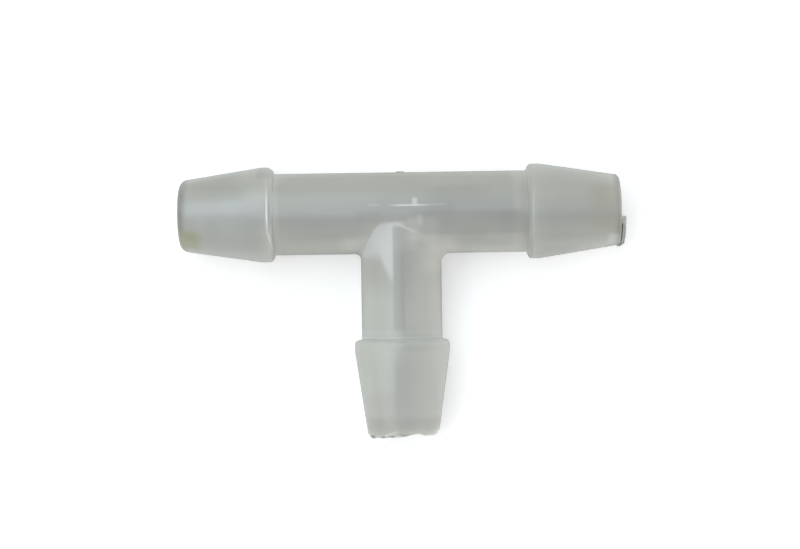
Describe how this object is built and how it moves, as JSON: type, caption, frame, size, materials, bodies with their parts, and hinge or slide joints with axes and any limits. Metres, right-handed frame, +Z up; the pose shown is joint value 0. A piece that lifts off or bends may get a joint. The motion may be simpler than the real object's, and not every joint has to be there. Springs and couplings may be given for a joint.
{
  "type": "washer hose tee",
  "caption": "Moulded plastic tee that joins three washer hoses, with a tapered barb on each arm and a bore through all of them.",
  "frame": {"origin": "where the axis of the run meets the axis of the leg", "axes": "+X along the run towards its right end, -Y along the leg towards its open end, +Z up from the surface that the tee lies on"},
  "size_m": [0.0434, 0.0268, 0.0092],
  "materials": {
    "natural_plastic": "uncoloured milky polypropylene, soft satin sheen"
  },
  "bodies": {
    "root": {"tee_body": "natural_plastic"}
  },
  "joints": []
}
